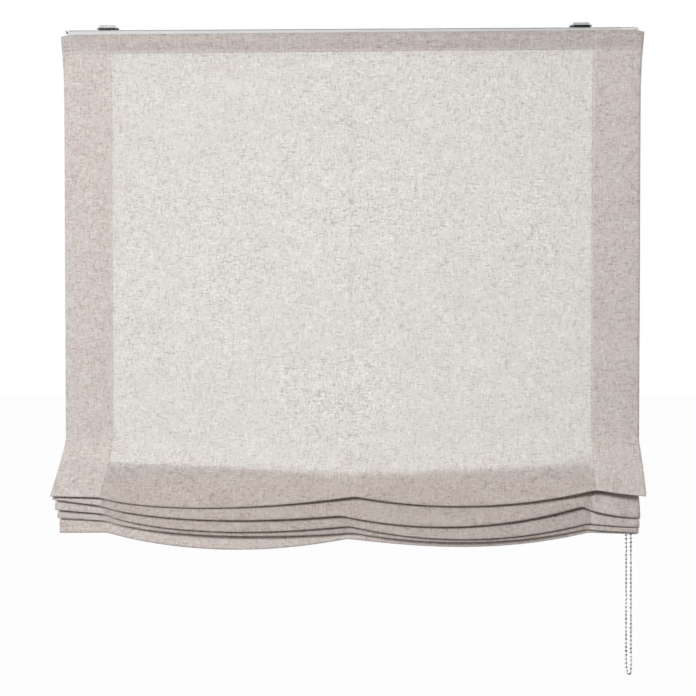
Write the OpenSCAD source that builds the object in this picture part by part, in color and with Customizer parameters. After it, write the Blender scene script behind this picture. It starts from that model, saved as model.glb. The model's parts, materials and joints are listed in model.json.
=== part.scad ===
// Roman blind with a chain-driven headrail, millimetres.
// The blind is drawn from the middle of the headrail's top, +X to the viewer's right and front towards -Y.
// It is then moved so that the origin lies midway between the two bracket screw holes, on the ceiling.

/* [Headrail] */
// Width of the blind: the headrail with its end pieces, and the cloth
blind_w = 850; // [600:1:1200]
// Height of the headrail
rail_h = 34; // [32:0.5:42]
// Depth of the headrail
rail_d = 36; // [34:0.5:44]
// Wall of the headrail
rail_wall = 1.2; // [1:0.1:1.6]
// Width of each inward lip on top, wall included
top_lip_w = 5.2; // [4:0.1:6]
// Reach of the drip lips along the two top edges
drip_reach = 0.9; // [0.4:0.1:1.2]
// Thickness of the drip lips
drip_t = 0.7; // [0.5:0.1:1]
// Height of the clear channel under the top lips
top_channel_h = 3; // [2.6:0.1:4]
// Width of each inward lip at the bottom, wall included
bottom_lip_w = 2.4; // [2.2:0.1:2.6]
// Thickness of the left end cap
cap_t = 4.5; // [3:0.5:6]
// Depth of the plugs that hold the end pieces in the headrail
plug_l = 10; // [6:1:16]
// Wall of those plugs
plug_wall = 2; // [1.5:0.1:3]

/* [Brackets] */
// Distance from the blind's left end to the left bracket's screw
inset_left = 63; // [50:1:200]
// Distance from the blind's right end to the right bracket's screw
inset_right = 86; // [80:1:220]
// Height of the ceiling above the headrail
bracket_rise = 8.1; // [7.5:0.1:10]
// Width of the bracket plate at the ceiling
plate_top_w = 22; // [20:0.5:28]
// Width of the bracket plate at the foot of its flared sides
plate_foot_w = 27; // [25:0.5:34]
// Width of the turned-out foot along each flared side
plate_wing = 2.2; // [1:0.1:3]
// Chamfer of the bracket plate's front top edge
plate_edge = 1; // [0.4:0.1:1.2]
// Sheet thickness of the bracket plate
plate_t = 1.2; // [1:0.1:1.6]
// Depth of the bracket plate
plate_d = 35; // [32:0.5:38]
// Screw hole radius
screw_r = 2.25; // [2:0.05:2.6]
// Place of the screw hole in front of the cam's pivot
screw_front = 9.5; // [8.5:0.1:11]
// Thickness of the cam's lever
lever_t = 2.7; // [2:0.1:3]
// Width of the lever at its front edge
lever_w = 22.5; // [20:0.5:28]
// Reach of the lever in front of the headrail
lever_reach = 2.5; // [0:0.5:4]
// Width of the locking bar under the lips
lock_w = 15; // [10:0.5:18]
// Radius of the rivet that the cam turns on
rivet_r = 2; // [1.6:0.1:2.4]

/* [Drive] */
// Length of the drive housing
drive_w = 20; // [18:0.5:28]
// Thickness of the drive cover
cover_t = 8; // [6:0.5:12]
// Height of the cover above the headrail
cover_rise = 0.4; // [0:0.1:3]
// Number of ball pockets on the chain wheel
pockets = 12; // [12:2:12]
// Width of the chain wheel
wheel_w = 8; // [7.4:0.1:9]
// Side of the square drive shaft
shaft_side = 5; // [4:0.1:6]
// Radius of the journals and of the wheel's boss
journal_r = 5; // [4.6:0.1:5.6]
// Wall of the drive housing
drive_wall = 1.2; // [1:0.1:1.6]
// Radius of the brake spring's wire
spring_wire_r = 0.6; // [0.5:0.05:0.7]
// Turns of the brake spring
spring_turns = 4; // [3:0.5:4.5]

/* [Ball chain] */
// Diameter of one ball
ball_d = 4.5; // [4:0.1:4.5]
// Distance from ball to ball
ball_pitch = 6; // [5.6:0.1:6]
// Diameter of the link wire
link_d = 1.2; // [0.8:0.1:1.6]
// Balls from the wheel to the loop's foot
strand_balls = 154; // [60:1:200]
// Balls from the wheel to the chain connector
connector_ball = 16; // [8:1:40]

/* [Lift cords] */
// Width of the side hems, where the outer lift cords run
hem_w = 71; // [50:1:90]
// Diameter of a lift cord
cord_d = 1.2; // [1:0.1:1.4]
// Turns of cord on each spool
cord_turns = 6; // [3:1:7]
// Clear width of a spool between its flanges
drum_w = 22; // [18:0.5:26]
// Thickness of a spool flange
flange_t = 1.6; // [1.2:0.1:2]
// Length of each spool journal
journal_l = 5; // [4:0.5:7]
// Height of a spool flange above its drum
flange_h = 2.6; // [2:0.1:3]
// Thickness of a cradle's end walls
cradle_t = 2.5; // [2:0.1:3.5]
// Distance between two rings on the hanging cloth
ring_pitch = 115; // [90:1:160]
// Thickness of the ring's wire
ring_wire = 1.8; // [1.2:0.1:2.2]
// Height of a cord orb
orb_h = 9; // [7:0.5:14]
// Radius of a cord orb
orb_r = 5; // [4.8:0.1:5.4]

/* [Cloth] */
// Drop from the headrail's top to where the cloth leaves the plane of the panel
panel_drop = 606; // [300:1:900]
// Thickness of the cloth
cloth_t = 0.7; // [0.4:0.1:0.8]
// Drop of the cloth's top edge at its left end
top_edge_left = 7.5; // [3:0.5:8]
// Drop of the cloth's top edge at its right end
top_edge_right = 5; // [3:0.5:8]
// Dip of the cloth's two top corners
corner_dip = 3; // [0:0.5:4]
// Thickness of the hook tape and of the loop tape
tape_t = 1.4; // [1:0.1:2]
// Height of the two tapes
tape_h = 22; // [16:1:23]
// How far each side of the cloth spreads at its top edge
top_flare = 6; // [0:1:10]
// How far each side of the panel draws in at its foot
panel_waist = 2.8; // [0:0.2:4]
// Sideways shift of the gathered folds
fold_shift = -6; // [-10:1:10]

/* [Hidden] */
$fn = 48;
// Clearances: journals, seats, push fits, wheel, spools, chain, spring, cord holes, cord turns, wheel rims
run_gap = 0.08;
seat_gap = 0.3;
fit_gap = 0.2;
wheel_gap = 0.8;
spool_gap = 0.5;
chain_gap = 0.45;
spring_gap = 0.4;
cord_hole_gap = 0.6;
turn_gap = 0.05;
rim_gap = 0.15;
// Overrun of a cut past the face that it opens, and bite of one shape into the next
cut = 1;
bite = 0.1;
SIDES = ["left", "centre", "right"];
ENDS = ["left", "right"];

// Drop of each fold below the panel's end, from front to back, at the left edge, left cord, left bay,
// middle cord, right bay, right cord and right edge. The last row is the bottom hem.
fold_drops = [
    [78.5, 80, 93.5, 77, 89.5, 67, 74.5],
    [84.5, 94, 113, 107.5, 120.5, 92.5, 111],
    [99, 107, 131.5, 122.5, 142, 117, 124.5],
    [111.5, 118, 141.5, 136, 150, 127.5, 133],
    [138, 138.5, 162, 146.5, 157, 136, 138]
];
// Reach of each fold in front of the panel at the same seven places
fold_reaches = [
    [40, 39, 37, 38, 37.5, 40, 41],
    [31, 30, 33, 29, 33, 26, 12],
    [21, 20, 28, 21, 28, 15, 11],
    [11, 11, 20, 12, 20, 7, 7],
    [1, 1, 5, 2, 5, 1, 1]
];
// Shift of each fold's peak from the right cord, skew of the swags in both bays, and ease of the right flap
peak_shift = [2, -13, -4, -4, 0];
bay_skew = [0.8, 1];
flap_ease = 0.7;
// Height of each fold's rear crease above its front loop, then the swell of the loops to the front and back
crease_h = [0, 60, 60, 56, 54];
swell_front = [6, 9, 6, 4];
swell_back = [6, 5, 4, 4];
crease_round = [6, 3];
first_fall = 0.12;
fold_steps = 6;
hem_steps = 3;
flap_steps = 3;
bay_steps = 17;

left_x = -blind_w / 2;
rail_x = left_x + cap_t;
rail_l = blind_w - cap_t - drive_w - cover_t;
drive_x = rail_x + rail_l;
cover_x = drive_x + drive_w;
cavity_top = -(2 * rail_wall + top_channel_h);
cavity_foot = -(rail_h - rail_wall);
cavity_w = rail_d - 2 * rail_wall;
flange_r = (cavity_top - cavity_foot) / 2 - spool_gap;
drum_r = flange_r - flange_h;
shaft_y = -cavity_w / 2 + spool_gap + flange_r;
shaft_z = (cavity_top + cavity_foot) / 2;
cord_r = cord_d / 2;
cord_y = shaft_y - drum_r - cord_r - seat_gap;
cord_half = blind_w / 2 - hem_w;
cord_x = [-cord_half, 0, cord_half];
cord_edge = 2.5;
cord_lead = drum_w / 2 - cord_edge;
winding_pitch = cord_d + turn_gap;
spool_l = drum_w + 2 * flange_t + 2 * journal_l;
cradle_in = drum_w / 2 + flange_t + spool_gap;
cradle_d = cavity_w - 2 * seat_gap;
cradle_bar_w = 4;
cradle_bar_h = 2.3;
cradle_h = 24;
cord_hole_r = cord_r + cord_hole_gap;
snap_share = 0.83;
snap_w = 2 * snap_share * journal_r;

pitch_r = ball_pitch / 2 / sin(180 / pockets);
ball_r = ball_d / 2;
pocket_r = ball_r + fit_gap;
wheel_core_r = pitch_r - fit_gap;
wheel_rim_h = 2;
wheel_r = wheel_core_r + wheel_rim_h;
wheel_rim_t = wheel_w / 2 - pocket_r - rim_gap;
link_slot = link_d / 2 + seat_gap;
link_depth = 1.2;
wheel_x = cover_x - wheel_gap - wheel_w / 2;
boss_l = 16;
socket_l = 12;
pin_r = 3;
pin_l = 4;
drive_inner_r = pitch_r + ball_r + chain_gap;
drive_r = drive_inner_r + drive_wall;
drive_back_t = 4;
spring_r = journal_r + spring_gap + spring_wire_r;
spring_pitch = 2.2 * spring_wire_r;
collar_r = spring_r + spring_wire_r + fit_gap;
collar_l = spring_turns * spring_pitch + 2 * spring_wire_r;
cover_inset = 3;
cover_face = 5.5;
pry_w = 2.4;
pry_h = 5;
pry_d = 5;
strand_z = shaft_z - strand_balls * ball_pitch;
shaft_end = 4;
shaft_x0 = cord_x[0] + cord_lead - spool_l / 2 - shaft_end;
shaft_x1 = wheel_x - wheel_w / 2 - boss_l + socket_l - fit_gap;

rail_front = -rail_d / 2;
cloth_back = rail_front - 2 * tape_t;
cloth_y = cloth_back - cloth_t / 2;
tape_z = -8;
corner_w = 26;
flare_h = 110;
shift_h = 78;
shift_curve = 1.5;
ring_out = cord_y - cloth_back - seat_gap;
ring_r = ring_out - ring_wire / 2;
ring_first = 6;
ring_count = floor((panel_drop - rail_h) / ring_pitch);
bracket_offset = (inset_left - inset_right) / 2;
bracket_x = [left_x + inset_left, -left_x - inset_right];
plate_h = bracket_rise - lever_t - 2 * seat_gap;
plate_under = bracket_rise - plate_t;
lip_under = -rail_wall - seat_gap;
lock_t = top_channel_h - 2 * seat_gap - 1;
lock_r = cavity_w / 2 - seat_gap;
hub_r = lock_w / 2 + 1;
collar_wall = 2.5;
ridge_w = 1.6;
ridge_h = 0.6;
rivet_head_t = 0.8;
rivet_head_w = 1.4;
connector_end = 2;
connector_wall = 0.6;
knot_l = 3;

function lerp(a, b, t) = a + (b - a) * t;
function bezier(p, t) =
    pow(1 - t, 3) * p[0] + 3 * pow(1 - t, 2) * t * p[1] + 3 * (1 - t) * t * t * p[2] + pow(t, 3) * p[3];
function swag(a, low, b, u) = lerp(a, b, u) + 4 * u * (1 - u) * (low - (a + b) / 2);

// Value of one fold's row of seven at a place across the cloth
function across_fold(f, peak, x) =
    x < -cord_half ? lerp(f[1], f[0], (-cord_half - x) / hem_w)
    : x < 0 ? swag(f[1], f[2], f[3], pow(1 + x / cord_half, bay_skew[0]))
    : x < peak ? swag(f[3], f[4], f[5], pow(x / peak, bay_skew[1]))
    : lerp(f[5], f[6], pow((x - peak) / (blind_w / 2 - peak), flap_ease));
function fold_peak(i) = cord_half + peak_shift[i];
function loop_reach(i, x) = across_fold(fold_reaches[i], fold_peak(i), x);
function loop_z(i, x) = -panel_drop - across_fold(fold_drops[i], fold_peak(i), x);
function crease_z(i, x) = loop_z(i, x) + crease_h[i];
function loop_point(i, x) = [cloth_y - loop_reach(i, x), loop_z(i, x)];
function crease_point(i, x) = i == 0 ? [cloth_y, -panel_drop] : [cloth_y, crease_z(i, x)];

// Front fall, then rear rise, of one fold in the YZ plane
function fall_curve(i, x) =
    let (a = crease_point(i, x), b = loop_point(i, x),
         lead = i == 0 ? first_fall * (a[1] - b[1]) : crease_round[1])
    [a, a - [0, lead], b - [swell_front[i], 0], b];
function rise_curve(i, x) =
    let (b = loop_point(i, x), c = crease_point(i + 1, x))
    [b, b + [swell_back[i], 0], c + [0, crease_round[0]], c];
function hem_curve(x) =
    let (a = crease_point(4, x), b = loop_point(4, x), third = (a[1] - b[1]) / 3)
    [a, a - [0, third], b + [0, third], b];

function top_edge(x) =
    let (out = max(0, 1 - (blind_w / 2 - abs(x)) / corner_w))
    -lerp(top_edge_left, top_edge_right, x / blind_w + 0.5) - corner_dip * out * out;
function cloth_profile(x) = concat(
    [for (t = [0, 0.05, 0.2, 0.6]) [cloth_y, lerp(top_edge(x), -panel_drop, t)]],
    [for (i = [0:3], half = [0, 1], k = [0:fold_steps - 1])
        bezier(half == 0 ? fall_curve(i, x) : rise_curve(i, x), k / fold_steps)],
    [for (k = [0:hem_steps]) bezier(hem_curve(x), k / hem_steps)]
);
function columns() = concat(
    [for (k = [0:flap_steps - 1]) lerp(left_x, -cord_half, k / flap_steps)],
    [for (k = [-bay_steps:bay_steps]) k / bay_steps * cord_half],
    [for (k = [1:flap_steps]) lerp(cord_half, -left_x, k / flap_steps)]
);

// Sideways spread of the top edge, waist of the panel and shift of the folds, for one row of the cloth
function below_panel(z) = min(1, max(0, (-z - panel_drop) / shift_h));
function shift_at(z) = fold_shift * pow(below_panel(z), shift_curve);
function spread_x(x, z) =
    let (up = max(0, 1 + z / flare_h), in = min(1, -z / panel_drop) - below_panel(z))
    x * (1 + 2 / blind_w * (top_flare * up * up - panel_waist * in)) + shift_at(z);
// Height of a gathered crease where a lift cord passes it
function ring_z(k, i) = crease_z(k, cord_x[i] - shift_at(crease_z(k, cord_x[i])));
function row_normal(p, k) =
    let (d = p[min(k + 1, len(p) - 1)] - p[max(k - 1, 0)])
    [-d[1], d[0]] / norm(d);
function cloth_face(p, x, side) = [
    for (k = [0:len(p) - 1])
        let (q = p[k] + side * cloth_t / 2 * row_normal(p, k))
        [spread_x(x, p[k][1]), q[0], q[1]]
];

// Puts the blind at its place under the ceiling
module place() {
    translate([-bracket_offset, screw_front, -bracket_rise]) children();
}

// Extrudes a YZ section along X
module along_x(x, l) {
    translate([x, 0, 0]) rotate([90, 0, 90]) linear_extrude(l) children();
}

// Turns a shape made round Z onto the drive shaft's axis
module on_shaft(x) {
    translate([x, shaft_y, shaft_z]) rotate([0, 90, 0]) children();
}

// Outline of the headrail and of its end pieces down to a given depth, with the drip lips
module rail_outline(h) {
    union() {
        translate([-rail_d / 2, -h]) square([rail_d, h]);
        translate([-rail_d / 2 - drip_reach, -drip_t]) square([rail_d + 2 * drip_reach, drip_t]);
    }
}

module rail_section() {
    difference() {
        rail_outline(rail_h);
        translate([-cavity_w / 2, -rail_wall - top_channel_h]) square([cavity_w, top_channel_h]);
        translate([-rail_d / 2 + top_lip_w, -2 * rail_wall]) square([rail_d - 2 * top_lip_w, 3 * rail_wall]);
        translate([-cavity_w / 2, cavity_foot]) square([cavity_w, cavity_top - cavity_foot]);
        translate([-rail_d / 2 + bottom_lip_w, -rail_h - rail_wall])
            square([rail_d - 2 * bottom_lip_w, 3 * rail_wall]);
    }
}

module headrail() {
    color("whitesmoke") place() along_x(rail_x, rail_l) rail_section();
}

// Section of the hollow plugs that fit the headrail's cavity
module plug_section() {
    w = cavity_w - 2 * fit_gap;
    h = cavity_top - cavity_foot - 2 * fit_gap;
    difference() {
        translate([-w / 2, cavity_foot + fit_gap]) square([w, h]);
        translate([-w / 2 + plug_wall, cavity_foot + fit_gap + plug_wall])
            square([w - 2 * plug_wall, h - 2 * plug_wall]);
    }
}

// Notch at the front that frees an end piece with a blade
module pry_notch(x) {
    front = rail_front - drip_reach - cut;
    translate([x, front, -pry_h]) cube([pry_w, rail_front + pry_d - front, 2 * pry_h]);
}

module left_end_cap() {
    color("white") place() difference() {
        union() {
            along_x(left_x, cap_t) rail_outline(rail_h);
            along_x(rail_x, plug_l) plug_section();
        }
        pry_notch(rail_x - pry_w);
    }
}

module drive_section() {
    union() {
        rail_outline(-shaft_z);
        translate([shaft_y, shaft_z]) circle(drive_r);
    }
}

module drive_housing() {
    port = 2 * pocket_r + 3 * chain_gap;
    color("white") place() difference() {
        union() {
            difference() {
                along_x(drive_x, drive_w) drive_section();
                on_shaft(drive_x + drive_back_t) cylinder(r = drive_inner_r, h = drive_w);
            }
            on_shaft(drive_x + drive_back_t - cut) cylinder(r = collar_r + drive_wall, h = collar_l + cut);
            along_x(drive_x - plug_l, plug_l) plug_section();
        }
        on_shaft(drive_x - cut) cylinder(r = journal_r + run_gap, h = drive_w);
        on_shaft(drive_x + drive_back_t) cylinder(r = collar_r, h = drive_w);
        for (side = [-1, 1])
            translate([wheel_x - port / 2, shaft_y + side * pitch_r - port / 2, shaft_z - 2 * drive_r])
                cube([port, port, 2 * drive_r]);
    }
}

module drive_cover() {
    foot = drive_r - shaft_z;
    color("white") place() difference() {
        union() {
            along_x(cover_x, cover_face) translate([-rail_d / 2, -foot]) square([rail_d, foot + cover_rise]);
            along_x(cover_x, cover_t) translate([-rail_d / 2 + cover_inset, -foot + cover_inset])
                square([rail_d - 2 * cover_inset, foot + cover_rise - 2 * cover_inset]);
        }
        on_shaft(cover_x - cut) cylinder(r = pin_r + run_gap, h = pin_l + cut);
        pry_notch(cover_x);
    }
}

module chain_wheel() {
    side = wheel_w / 2;
    rim = side - wheel_rim_t;
    color("gainsboro") place() on_shaft(wheel_x) difference() {
        rotate_extrude() polygon([
            [0, -side - boss_l], [journal_r, -side - boss_l], [journal_r, -side], [wheel_r, -side],
            [wheel_r, -rim], [wheel_core_r, -rim], [wheel_core_r, -link_slot],
            [wheel_core_r - link_depth, -link_slot], [wheel_core_r - link_depth, link_slot],
            [wheel_core_r, link_slot], [wheel_core_r, rim], [wheel_r, rim],
            [wheel_r, side], [pin_r, side], [pin_r, side + pin_l - fit_gap], [0, side + pin_l - fit_gap]
        ]);
        for (k = [0:pockets - 1])
            rotate(360 * k / pockets) translate([pitch_r, 0, 0]) sphere(pocket_r);
        translate([0, 0, -side - boss_l - cut]) shaft_hole(socket_l + cut);
    }
}

module shaft_hole(l) {
    w = shaft_side + 2 * run_gap;
    translate([-w / 2, -w / 2, 0]) cube([w, w, l]);
}

// Close-wound wire round the wheel's boss
module brake_spring() {
    around = 14;
    sides = 8;
    steps = around * spring_turns;
    rings = [for (k = [0:steps], s = [0:sides - 1])
        let (a = 360 * k / around, b = 360 * s / sides, r = spring_r + spring_wire_r * cos(b))
        [r * cos(a), r * sin(a), spring_pitch * k / around + spring_wire_r * sin(b)]];
    walls = [for (k = [0:steps - 1], s = [0:sides - 1])
        let (n = (s + 1) % sides)
        [k * sides + s, k * sides + n, (k + 1) * sides + n, (k + 1) * sides + s]];
    caps = [[for (s = [sides - 1:-1:0]) s], [for (s = [0:sides - 1]) steps * sides + s]];
    color("silver") place() on_shaft(drive_x + drive_back_t + spring_wire_r + fit_gap)
        polyhedron(rings, concat(walls, caps));
}

module drive_shaft() {
    color("darkgray") place() translate([shaft_x0, shaft_y - shaft_side / 2, shaft_z - shaft_side / 2])
        cube([shaft_x1 - shaft_x0, shaft_side, shaft_side]);
}

module cord_spool(i) {
    half = drum_w / 2;
    edge = half + flange_t;
    color("white") place() on_shaft(cord_x[i] + cord_lead) difference() {
        rotate_extrude() polygon([
            [0, -edge - journal_l], [journal_r, -edge - journal_l], [journal_r, -edge], [flange_r, -edge],
            [flange_r, -half], [drum_r, -half], [drum_r, half], [flange_r, half],
            [flange_r, edge], [journal_r, edge], [journal_r, edge + journal_l], [0, edge + journal_l]
        ]);
        translate([0, 0, -spool_l]) shaft_hole(2 * spool_l);
    }
}

// Turns of lift cord that lie side by side on the drum
module cord_winding(i) {
    color("ghostwhite") place() on_shaft(cord_x[i] + cord_r + seat_gap + cord_r) rotate_extrude() union() {
        for (k = [0:cord_turns - 1])
            translate([drum_r + cord_r + turn_gap, k * winding_pitch]) circle(cord_r, $fn = 24);
        translate([drum_r + 2 * turn_gap, 0]) square([cord_r, (cord_turns - 1) * winding_pitch]);
    }
}

// Two bearing walls with snap slots, joined by the bars that lie on the headrail's bottom lips
module spool_cradle(i) {
    x = cord_x[i] + cord_lead;
    color("white") place() difference() {
        union() {
            for (side = [0, 1])
                translate([x + (side == 0 ? -cradle_in - cradle_t : cradle_in), -cradle_d / 2, cavity_foot])
                    cube([cradle_t, cradle_d, cradle_h]);
            for (y = [-cradle_d / 2, cradle_d / 2 - cradle_bar_w])
                translate([x - cradle_in - cradle_t, y, cavity_foot])
                    cube([2 * (cradle_in + cradle_t), cradle_bar_w, cradle_bar_h]);
        }
        on_shaft(x - spool_l) cylinder(r = journal_r + run_gap, h = 2 * spool_l);
        translate([x - spool_l, shaft_y - snap_w / 2, shaft_z]) cube([2 * spool_l, snap_w, rail_h]);
        translate([cord_x[i], cord_y, cavity_foot - cut])
            cylinder(r = cord_hole_r, h = cradle_bar_h + 2 * cut);
    }
}

function orb_top(i) = ring_z(4, i) - ring_wire / 2;

module lift_cord(i) {
    foot = orb_top(i) - orb_h - knot_l;
    color("ghostwhite") place() translate([cord_x[i], cord_y, foot]) union() {
        cylinder(r = cord_r, h = shaft_z - foot, $fn = 24);
        sphere(2 * cord_r, $fn = 24);
    }
}

// One ring on each gathered crease and one each ring pitch up the panel
module cord_rings(i) {
    x = cord_x[i];
    first = ring_first - panel_drop;
    levels = concat([for (k = [1:4]) ring_z(k, i)],
        [for (k = [0:ring_count - 1]) first + k * ring_pitch]);
    color("white") place() for (z = levels)
        translate([x, cord_y, z]) rotate_extrude() translate([ring_r, 0]) circle(ring_wire / 2, $fn = 24);
}

// Bell that ends a lift cord under its lowest ring
module cord_orb(i) {
    hole = cord_r + fit_gap;
    color("white") place() translate([cord_x[i], cord_y, orb_top(i) - orb_h]) rotate_extrude() polygon([
        [hole, 0], [0.48 * orb_r, 0], [0.76 * orb_r, 0.35 * orb_h], [orb_r, 0.75 * orb_h],
        [orb_r, orb_h], [hole, orb_h]
    ]);
}

module hook_tape() {
    color("snow") place() translate([rail_x, rail_front - tape_t, tape_z - tape_h])
        cube([rail_l, tape_t, tape_h]);
}

module loop_tape() {
    color("snow") place() translate([left_x + cap_t, cloth_back, tape_z - tape_h])
        cube([blind_w - 2 * cap_t, tape_t, tape_h]);
}

module blind_cloth() {
    xs = columns();
    rows = len(cloth_profile(0));
    n = len(xs);
    front = [for (x = xs) each cloth_face(cloth_profile(x), x, -1)];
    back = [for (x = xs) each cloth_face(cloth_profile(x), x, 1)];
    b = n * rows;
    faces = concat(
        [for (c = [0:n - 2], r = [0:rows - 2])
            let (p = c * rows + r) each [[p, p + rows, p + 1], [p + 1, p + rows, p + rows + 1]]],
        [for (c = [0:n - 2], r = [0:rows - 2])
            let (p = b + c * rows + r) each [[p, p + 1, p + rows], [p + 1, p + rows + 1, p + rows]]],
        [for (c = [0:n - 2], r = [0, rows - 1])
            let (p = c * rows + r, q = p + rows)
            each r == 0 ? [[p, b + p, q], [q, b + p, b + q]] : [[p, q, b + p], [q, b + q, b + p]]],
        [for (c = [0, n - 1], r = [0:rows - 2])
            let (p = c * rows + r, q = p + 1)
            each c == 0 ? [[p, q, b + p], [q, b + q, b + p]] : [[p, b + p, q], [q, b + p, b + q]]]
    );
    color("linen") place() polyhedron(concat(front, back), faces);
}

// Straight run of balls on their link wire
module strand() {
    rotate_extrude() intersection() {
        union() {
            for (k = [0:strand_balls]) translate([0, -k * ball_pitch]) circle(ball_r, $fn = 24);
            translate([0, -strand_balls * ball_pitch]) square([link_d / 2, strand_balls * ball_pitch]);
        }
        translate([0, -(strand_balls + 1) * ball_pitch]) square([ball_d, (strand_balls + 2) * ball_pitch]);
    }
}

// Half turn of balls round a centre, from one strand to the other
module half_turn() {
    step = 360 / pockets;
    for (k = [1:pockets / 2 - 1])
        rotate(k * step) translate([pitch_r, 0, 0]) sphere(ball_r, $fn = 24);
    for (k = [0:pockets / 2 - 1])
        rotate(k * step) translate([pitch_r, 0, 0]) rotate(90 + step / 2) rotate([0, 90, 0])
            cylinder(r = link_d / 2, h = ball_pitch, $fn = 24);
}

module bead_chain() {
    color("silver") place() translate([wheel_x, shaft_y, 0]) union() {
        for (side = [-1, 1]) translate([0, side * pitch_r, shaft_z]) strand();
        translate([0, 0, shaft_z]) rotate([90, 0, 90]) half_turn();
        translate([0, 0, strand_z]) rotate([-90, 0, 90]) half_turn();
    }
}

// Sleeve that closes the chain over two balls of the rear strand
module chain_connector() {
    l = ball_pitch + 2 * connector_end;
    bore = ball_r + fit_gap;
    foot = shaft_z - (connector_ball + 1) * ball_pitch - connector_end;
    color("silver") place() translate([wheel_x, shaft_y + pitch_r, foot]) difference() {
        cylinder(r = bore + connector_wall, h = l);
        translate([0, 0, -cut]) cylinder(r = bore, h = l + 2 * cut);
    }
}

// Pressed tray with flared sides, turned-out feet and a closed front
module bracket_plate(i) {
    flare = (plate_foot_w - plate_top_w) / 2;
    bend = plate_foot_w / 2 - flare * plate_t / plate_h;
    wing = plate_foot_w / 2 + plate_wing;
    color("lightgray") place() translate([bracket_x[i], plate_d / 2, bracket_rise]) difference() {
        rotate([90, 0, 0]) linear_extrude(plate_d) polygon([
            [-plate_top_w / 2, 0], [plate_top_w / 2, 0],
            [bend, plate_t - plate_h], [wing, plate_t - plate_h], [wing, -plate_h],
            [-wing, -plate_h], [-wing, plate_t - plate_h], [-bend, plate_t - plate_h]
        ]);
        translate([0, cut, -plate_t]) rotate([90, 0, 0]) linear_extrude(plate_d - plate_t + cut) polygon([
            [-plate_top_w / 2 + plate_t, 0], [plate_top_w / 2 - plate_t, 0],
            [plate_foot_w / 2 + flare - plate_t, -2 * plate_h + plate_t],
            [-plate_foot_w / 2 - flare + plate_t, -2 * plate_h + plate_t]
        ]);
        translate([0, -plate_d, 0]) rotate([45, 0, 0])
            cube([2 * plate_foot_w, sqrt(2) * plate_edge, sqrt(2) * plate_edge], center = true);
        translate([0, -plate_d / 2 - screw_front, -plate_h]) cylinder(r = screw_r, h = 2 * plate_h);
        translate([0, -plate_d / 2, -plate_h]) cylinder(r = rivet_r, h = 2 * plate_h);
    }
}

// Bar that locks under both lips, with the hub and the lever that turn it
module bracket_cam(i) {
    lever_front = rail_d / 2 + lever_reach;
    lever_foot = seat_gap;
    color("dimgray") place() translate([bracket_x[i], 0, 0]) difference() {
        union() {
            translate([0, 0, lip_under - lock_t]) linear_extrude(lock_t) intersection() {
                circle(lock_r);
                translate([-lock_w / 2, -lock_r]) square([lock_w, 2 * lock_r]);
            }
            translate([0, 0, lip_under - bite]) cylinder(r = hub_r, h = lever_foot - lip_under + 2 * bite);
            translate([0, 0, lever_foot]) linear_extrude(lever_t) union() {
                circle(hub_r);
                polygon([[-hub_r, 0], [hub_r, 0],
                    [lever_w / 2, -lever_front], [-lever_w / 2, -lever_front]]);
                for (k = [-2:2])
                    translate([k * lever_w / 5 - ridge_w / 2, -lever_front - ridge_h])
                        square([ridge_w, ridge_h + bite]);
            }
            cylinder(r = rivet_r + collar_wall, h = plate_under - fit_gap);
        }
        translate([0, 0, -rail_h]) cylinder(r = rivet_r + run_gap, h = 2 * rail_h);
        translate([0, -screw_front, lever_foot - bite]) cylinder(r = 2 * screw_r, h = bracket_rise);
    }
}

module bracket_rivet(i) {
    foot = lip_under - lock_t - bite;
    color("silver") place() translate([bracket_x[i], 0, foot]) union() {
        cylinder(r = rivet_r, h = bracket_rise - foot - bite);
        translate([0, 0, -rivet_head_t]) cylinder(r = rivet_r + rivet_head_w, h = rivet_head_t);
    }
}

headrail();
left_end_cap();
drive_housing();
drive_cover();
chain_wheel();
brake_spring();
drive_shaft();
for (i = [0:2]) {
    cord_spool(i);
    cord_winding(i);
    spool_cradle(i);
    lift_cord(i);
    cord_rings(i);
    cord_orb(i);
}
hook_tape();
loop_tape();
blind_cloth();
bead_chain();
chain_connector();
for (i = [0:1]) {
    bracket_plate(i);
    bracket_cam(i);
    bracket_rivet(i);
}
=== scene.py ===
import json
import math
import bmesh
import bpy
from mathutils import Matrix, Vector, noise


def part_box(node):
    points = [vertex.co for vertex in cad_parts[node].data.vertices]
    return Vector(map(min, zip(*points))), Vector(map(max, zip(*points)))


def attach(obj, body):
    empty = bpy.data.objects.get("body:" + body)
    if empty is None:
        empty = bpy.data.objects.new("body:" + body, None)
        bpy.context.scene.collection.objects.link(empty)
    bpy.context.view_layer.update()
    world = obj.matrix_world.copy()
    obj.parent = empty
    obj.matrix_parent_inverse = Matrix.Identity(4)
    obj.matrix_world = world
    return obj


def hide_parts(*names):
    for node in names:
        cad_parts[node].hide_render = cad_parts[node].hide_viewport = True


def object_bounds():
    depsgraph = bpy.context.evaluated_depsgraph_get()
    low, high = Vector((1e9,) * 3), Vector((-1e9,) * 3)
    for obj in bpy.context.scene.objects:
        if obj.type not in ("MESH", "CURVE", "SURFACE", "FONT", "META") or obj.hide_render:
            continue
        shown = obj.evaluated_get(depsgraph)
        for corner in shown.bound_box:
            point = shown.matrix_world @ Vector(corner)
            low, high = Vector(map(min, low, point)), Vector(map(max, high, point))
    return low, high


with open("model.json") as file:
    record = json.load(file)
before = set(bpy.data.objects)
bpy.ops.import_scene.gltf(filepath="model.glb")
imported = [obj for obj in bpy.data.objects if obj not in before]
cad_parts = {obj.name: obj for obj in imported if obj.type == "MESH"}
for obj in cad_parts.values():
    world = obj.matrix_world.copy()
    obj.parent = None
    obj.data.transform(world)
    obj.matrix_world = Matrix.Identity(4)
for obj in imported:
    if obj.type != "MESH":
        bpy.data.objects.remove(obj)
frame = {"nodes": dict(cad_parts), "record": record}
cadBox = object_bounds()
nodes = frame["nodes"]
print("frame: %d solids" % len(nodes))

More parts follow.
